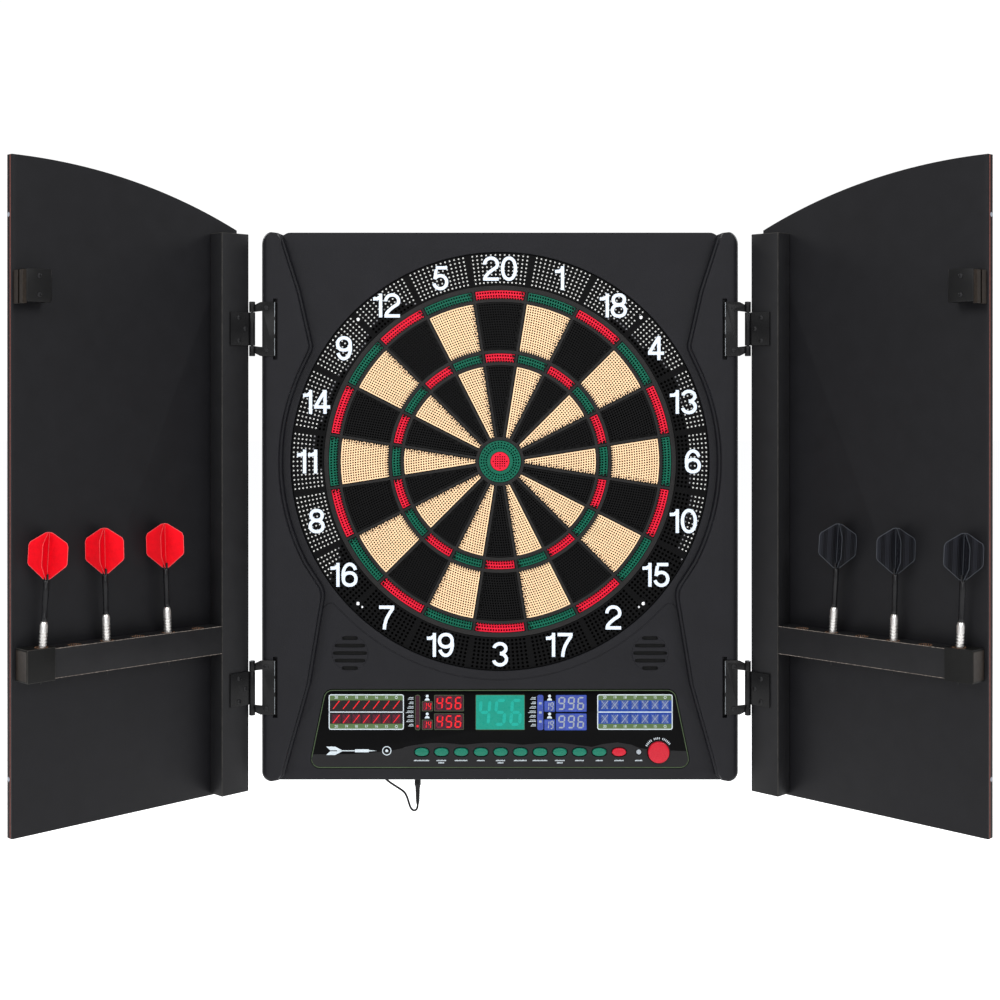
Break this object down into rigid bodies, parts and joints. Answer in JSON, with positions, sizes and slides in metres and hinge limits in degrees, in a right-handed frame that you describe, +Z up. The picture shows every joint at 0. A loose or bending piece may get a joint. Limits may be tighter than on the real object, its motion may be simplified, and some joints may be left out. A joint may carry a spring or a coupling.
{
  "type": "electronic dartboard",
  "caption": "Electronic soft-tip dartboard in a wall cabinet with two hinged doors, score displays, buttons and dart shelves.",
  "frame": {"origin": "on the wall plane at the back of the rear cover, straight behind the centre of the bull", "axes": "+Z up, +X to the player's right, -Y towards the player, +Y into the wall"},
  "size_m": [0.8876, 0.2379, 0.6444],
  "materials": {
    "housing_black": "fine moulded texture, satin",
    "target_black": "moulded, satin",
    "segment_black": "moulded, satin",
    "segment_beige": "moulded, satin",
    "segment_red": "moulded, satin",
    "segment_green": "moulded, satin",
    "number_white": "printed",
    "film_white": "matte film",
    "lens_gloss": "polished window",
    "display_red": "lit segments",
    "display_blue": "lit segments",
    "display_teal": "back-lit",
    "display_grey": "printed",
    "outline_green": "printed",
    "button_green": "moulded",
    "button_red": "moulded",
    "silicone_grey": "moulded silicone",
    "circuit_green": "solder mask",
    "speaker_black": "paper cone and frame",
    "laminate_black": "fine-grain laminate on board",
    "laminate_cherry": "wood-print laminate on board",
    "board_edge": "raw fibreboard",
    "hinge_black": "black finish, worn edges",
    "screw_steel": "plated",
    "screw_black": "black zinc",
    "catch_plastic": "moulded",
    "magnet_strike": "dull plate",
    "dart_barrel": "knurled",
    "dart_stem": "moulded nylon",
    "dart_tip": "moulded nylon",
    "flight_red": "folded film",
    "flight_black": "folded film with a woven print",
    "lead_black": "flexible sheath",
    "adapter_black": "moulded",
    "prong_brass": "bare"
  },
  "bodies": {
    "housing": {"front_housing": "housing_black", "rear_cover": "housing_black", "spider_frame": "target_black", "catch_ring": "target_black", "control_panel_lens": "lens_gloss", "left_speaker": "speaker_black", "right_speaker": "speaker_black", "main_circuit_board": "circuit_green", "matrix_membrane": "film_white", "target_backplate": "housing_black", "display_board": "circuit_green", "button_pad": "silicone_grey", "dc_jack": "adapter_black", "power_lead": "lead_black", "power_lead_coil": "lead_black", "dc_plug": "lead_black", "wall_adapter": "adapter_black", "left_upper_hinge_frame_leaf": "hinge_black", "left_lower_hinge_frame_leaf": "hinge_black", "right_upper_hinge_frame_leaf": "hinge_black", "right_lower_hinge_frame_leaf": "hinge_black"},
    "doubles_segments": {"doubles_segments": "segment_red"},
    "outer_single_segments": {"outer_single_segments": "segment_black"},
    "triples_segments": {"triples_segments": "segment_red"},
    "inner_single_segments": {"inner_single_segments": "segment_black"},
    "outer_bull_segment": {"outer_bull_segment": "segment_green"},
    "inner_bull_segment": {"inner_bull_segment": "segment_red"},
    "select_button_1": {"select_button_1": "button_green"},
    "select_button_2": {"select_button_2": "button_green"},
    "select_button_3": {"select_button_3": "button_green"},
    "select_button_4": {"select_button_4": "button_green"},
    "select_button_5": {"select_button_5": "button_green"},
    "select_button_6": {"select_button_6": "button_green"},
    "select_button_7": {"select_button_7": "button_green"},
    "select_button_8": {"select_button_8": "button_green"},
    "select_button_9": {"select_button_9": "button_green"},
    "select_button_10": {"select_button_10": "button_green"},
    "power_button": {"power_button": "button_red"},
    "reset_button": {"reset_button": "silicone_grey"},
    "start_button": {"start_button": "button_red"},
    "left_door": {"left_door_panel": "laminate_black", "left_door_post": "laminate_black", "left_dart_shelf": "laminate_black", "left_shelf_cap": "catch_plastic", "left_magnetic_catch": "catch_plastic", "left_upper_hinge_door_leaf": "hinge_black", "left_lower_hinge_door_leaf": "hinge_black"},
    "left_dart_1": {"left_dart_1": "dart_barrel"},
    "left_dart_2": {"left_dart_2": "dart_barrel"},
    "left_dart_3": {"left_dart_3": "dart_barrel"},
    "right_door": {"right_door_panel": "laminate_black", "right_door_post": "laminate_black", "right_dart_shelf": "laminate_black", "right_shelf_cap": "catch_plastic", "right_magnetic_catch": "catch_plastic", "right_upper_hinge_door_leaf": "hinge_black", "right_lower_hinge_door_leaf": "hinge_black"},
    "right_dart_1": {"right_dart_1": "dart_barrel"},
    "right_dart_2": {"right_dart_2": "dart_barrel"},
    "right_dart_3": {"right_dart_3": "dart_barrel"}
  },
  "joints": [
    {"name": "doubles_press", "type": "slide", "parent": "housing", "child": "doubles_segments", "axis": [0, 1, 0], "range_m": [0, 0.001], "stiffness_N_per_m": 3000},
    {"name": "outer_single_press", "type": "slide", "parent": "housing", "child": "outer_single_segments", "axis": [0, 1, 0], "range_m": [0, 0.001], "stiffness_N_per_m": 3000},
    {"name": "triples_press", "type": "slide", "parent": "housing", "child": "triples_segments", "axis": [0, 1, 0], "range_m": [0, 0.001], "stiffness_N_per_m": 3000},
    {"name": "inner_single_press", "type": "slide", "parent": "housing", "child": "inner_single_segments", "axis": [0, 1, 0], "range_m": [0, 0.001], "stiffness_N_per_m": 3000},
    {"name": "outer_bull_press", "type": "slide", "parent": "housing", "child": "outer_bull_segment", "axis": [0, 1, 0], "range_m": [0, 0.001], "stiffness_N_per_m": 3000},
    {"name": "inner_bull_press", "type": "slide", "parent": "housing", "child": "inner_bull_segment", "axis": [0, 1, 0], "range_m": [0, 0.001], "stiffness_N_per_m": 3000},
    {"name": "select_button_1_press", "type": "slide", "parent": "housing", "child": "select_button_1", "axis": [0, 1, 0], "range_m": [0, 0.0008], "stiffness_N_per_m": 400},
    {"name": "select_button_2_press", "type": "slide", "parent": "housing", "child": "select_button_2", "axis": [0, 1, 0], "range_m": [0, 0.0008], "stiffness_N_per_m": 400},
    {"name": "select_button_3_press", "type": "slide", "parent": "housing", "child": "select_button_3", "axis": [0, 1, 0], "range_m": [0, 0.0008], "stiffness_N_per_m": 400},
    {"name": "select_button_4_press", "type": "slide", "parent": "housing", "child": "select_button_4", "axis": [0, 1, 0], "range_m": [0, 0.0008], "stiffness_N_per_m": 400},
    {"name": "select_button_5_press", "type": "slide", "parent": "housing", "child": "select_button_5", "axis": [0, 1, 0], "range_m": [0, 0.0008], "stiffness_N_per_m": 400},
    {"name": "select_button_6_press", "type": "slide", "parent": "housing", "child": "select_button_6", "axis": [0, 1, 0], "range_m": [0, 0.0008], "stiffness_N_per_m": 400},
    {"name": "select_button_7_press", "type": "slide", "parent": "housing", "child": "select_button_7", "axis": [0, 1, 0], "range_m": [0, 0.0008], "stiffness_N_per_m": 400},
    {"name": "select_button_8_press", "type": "slide", "parent": "housing", "child": "select_button_8", "axis": [0, 1, 0], "range_m": [0, 0.0008], "stiffness_N_per_m": 400},
    {"name": "select_button_9_press", "type": "slide", "parent": "housing", "child": "select_button_9", "axis": [0, 1, 0], "range_m": [0, 0.0008], "stiffness_N_per_m": 400},
    {"name": "select_button_10_press", "type": "slide", "parent": "housing", "child": "select_button_10", "axis": [0, 1, 0], "range_m": [0, 0.0008], "stiffness_N_per_m": 400},
    {"name": "power_button_press", "type": "slide", "parent": "housing", "child": "power_button", "axis": [0, 1, 0], "range_m": [0, 0.0008], "stiffness_N_per_m": 400},
    {"name": "reset_button_press", "type": "slide", "parent": "housing", "child": "reset_button", "axis": [0, 1, 0], "range_m": [0, 0.0008], "stiffness_N_per_m": 400},
    {"name": "start_button_press", "type": "slide", "parent": "housing", "child": "start_button", "axis": [0, 1, 0], "range_m": [0, 0.0008], "stiffness_N_per_m": 400},
    {"name": "left_door_hinge", "type": "hinge", "parent": "housing", "child": "left_door", "pos_m": [-0.2472, -0.063, 0], "axis": [0, 0, 1], "range_deg": [-45, 135]},
    {"name": "left_dart_1_lift", "type": "slide", "parent": "left_door", "child": "left_dart_1", "axis": [0.0444, 0.0444, 0.998], "range_m": [0, 0.07]},
    {"name": "left_dart_2_lift", "type": "slide", "parent": "left_door", "child": "left_dart_2", "axis": [-0.016, -0.016, 0.9997], "range_m": [0, 0.07]},
    {"name": "left_dart_3_lift", "type": "slide", "parent": "left_door", "child": "left_dart_3", "axis": [-0.0259, -0.0259, 0.9993], "range_m": [0, 0.07]},
    {"name": "right_door_hinge", "type": "hinge", "parent": "housing", "child": "right_door", "pos_m": [0.2472, -0.063, 0], "axis": [0, 0, -1], "range_deg": [-45, 135]},
    {"name": "right_dart_1_lift", "type": "slide", "parent": "right_door", "child": "right_dart_1", "axis": [0.0321, -0.0321, 0.999], "range_m": [0, 0.07]},
    {"name": "right_dart_2_lift", "type": "slide", "parent": "right_door", "child": "right_dart_2", "axis": [0.0197, -0.0197, 0.9996], "range_m": [0, 0.07]},
    {"name": "right_dart_3_lift", "type": "slide", "parent": "right_door", "child": "right_dart_3", "axis": [0.0456, -0.0456, 0.9979], "range_m": [0, 0.07]}
  ]
}
